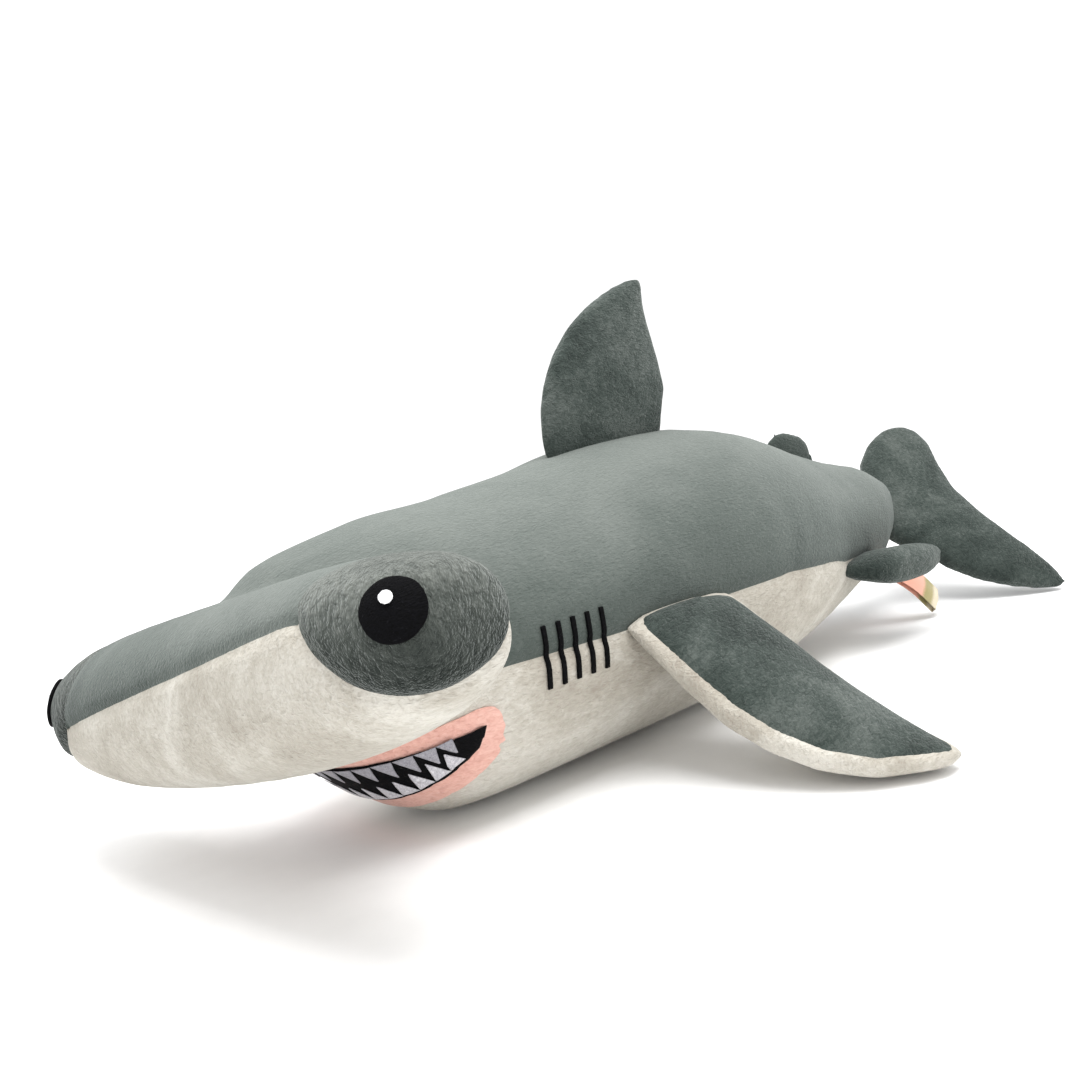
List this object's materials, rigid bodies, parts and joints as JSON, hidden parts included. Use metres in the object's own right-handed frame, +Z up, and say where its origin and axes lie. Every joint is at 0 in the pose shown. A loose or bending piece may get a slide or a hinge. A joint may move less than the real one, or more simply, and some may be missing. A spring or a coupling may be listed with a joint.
{
  "type": "plush shark",
  "caption": "Stuffed hammerhead shark in grey and white pile fabric, with embroidered eyes, gills and toothed mouth; head, tail and fins flex",
  "frame": {"origin": "on the floor, in the flat that the belly rests on, between the pectoral fins", "axes": "+Z up, +Y towards the tail, +X towards the shark's left side; the wide head faces -Y"},
  "size_m": [0.3534, 0.5562, 0.211],
  "materials": {
    "grey_fabric": "matte",
    "white_fabric": "matte",
    "pink_fabric": "matte",
    "black_thread": "satin",
    "white_thread": "satin",
    "silver_thread": "satin",
    "fibre_fill": "matte",
    "label_satin": "satin"
  },
  "bodies": {
    "torso": {"back_panel_left": "grey_fabric", "back_panel_right": "grey_fabric", "belly_panel": "white_fabric", "torso_stuffing": "fibre_fill", "gill_stitches_left": "black_thread", "gill_stitches_right": "black_thread"},
    "head": {"head_top_panel": "grey_fabric", "head_under_panel": "white_fabric", "eye_panel_left": "grey_fabric", "eye_panel_right": "grey_fabric", "head_stuffing": "fibre_fill", "eye_left": "black_thread", "eye_right": "black_thread", "eye_glint_left": "white_thread", "eye_glint_right": "white_thread", "mouth_lip": "pink_fabric", "mouth_lining": "black_thread", "teeth_upper": "silver_thread", "teeth_lower": "silver_thread"},
    "pectoral_left": {"pectoral_top_left": "grey_fabric", "pectoral_under_left": "white_fabric", "pectoral_stuffing_left": "fibre_fill"},
    "pectoral_right": {"pectoral_top_right": "grey_fabric", "pectoral_under_right": "white_fabric", "pectoral_stuffing_right": "fibre_fill"},
    "dorsal": {"dorsal_panel_left": "grey_fabric", "dorsal_panel_right": "grey_fabric", "dorsal_stuffing": "fibre_fill"},
    "second_dorsal": {"second_dorsal_panel_left": "grey_fabric", "second_dorsal_panel_right": "grey_fabric", "second_dorsal_stuffing": "fibre_fill"},
    "tail": {"tail_panel_left": "grey_fabric", "tail_panel_right": "grey_fabric", "tail_belly_panel": "white_fabric", "tail_stuffing": "fibre_fill"},
    "pelvic_left": {"pelvic_top_left": "grey_fabric", "pelvic_under_left": "grey_fabric", "pelvic_stuffing_left": "fibre_fill"},
    "pelvic_right": {"pelvic_top_right": "grey_fabric", "pelvic_under_right": "grey_fabric", "pelvic_stuffing_right": "fibre_fill"},
    "caudal": {"caudal_panel_left": "grey_fabric", "caudal_panel_right": "grey_fabric", "caudal_stuffing": "fibre_fill"},
    "label": {"care_label": "label_satin"}
  },
  "joints": [
    {"name": "head_turn", "type": "hinge", "parent": "torso", "child": "head", "pos_m": [0, -0.095, 0.07], "axis": [0, 0, 1], "range_deg": [-12, 12], "stiffness_Nm_per_rad": 1.5},
    {"name": "tail_bend", "type": "hinge", "parent": "torso", "child": "tail", "pos_m": [0, 0.16, 0.06], "axis": [0, 0, 1], "range_deg": [-20, 20], "stiffness_Nm_per_rad": 1.5},
    {"name": "pectoral_left_flap", "type": "hinge", "parent": "torso", "child": "pectoral_left", "pos_m": [0.073, -0.02, 0.058], "axis": [-0.0286, -0.9992, 0.0286], "range_deg": [-20, 35], "stiffness_Nm_per_rad": 0.5},
    {"name": "pectoral_right_flap", "type": "hinge", "parent": "torso", "child": "pectoral_right", "pos_m": [-0.073, -0.02, 0.058], "axis": [-0.0286, 0.9992, -0.0286], "range_deg": [-20, 35], "stiffness_Nm_per_rad": 0.5},
    {"name": "dorsal_lean", "type": "hinge", "parent": "torso", "child": "dorsal", "pos_m": [0, 0.009, 0.146], "axis": [0, 1, 0], "range_deg": [-25, 25], "stiffness_Nm_per_rad": 0.3},
    {"name": "second_dorsal_lean", "type": "hinge", "parent": "tail", "child": "second_dorsal", "pos_m": [0, 0.179, 0.117], "axis": [0, 0.9552, -0.2961], "range_deg": [-20, 20], "stiffness_Nm_per_rad": 0.002},
    {"name": "pelvic_left_flap", "type": "hinge", "parent": "tail", "child": "pelvic_left", "pos_m": [0.0555, 0.174, 0.045], "axis": [0.2424, -0.9695, 0.0373], "range_deg": [-20, 20], "stiffness_Nm_per_rad": 0.03},
    {"name": "pelvic_right_flap", "type": "hinge", "parent": "tail", "child": "pelvic_right", "pos_m": [-0.0555, 0.174, 0.045], "axis": [0.2424, 0.9695, -0.0373], "range_deg": [-20, 20], "stiffness_Nm_per_rad": 0.03},
    {"name": "caudal_sway", "type": "hinge", "parent": "tail", "child": "caudal", "pos_m": [0.004, 0.306, 0.06], "axis": [0.7291, -0.069, -0.6809], "range_deg": [-25, 25], "stiffness_Nm_per_rad": 0.4},
    {"name": "label_swing", "type": "hinge", "parent": "tail", "child": "label", "pos_m": [0.033, 0.243, 0.033], "axis": [-0.2655, 0.7645, 0.5874], "range_deg": [-25, 25], "stiffness_Nm_per_rad": 0.0003}
  ]
}
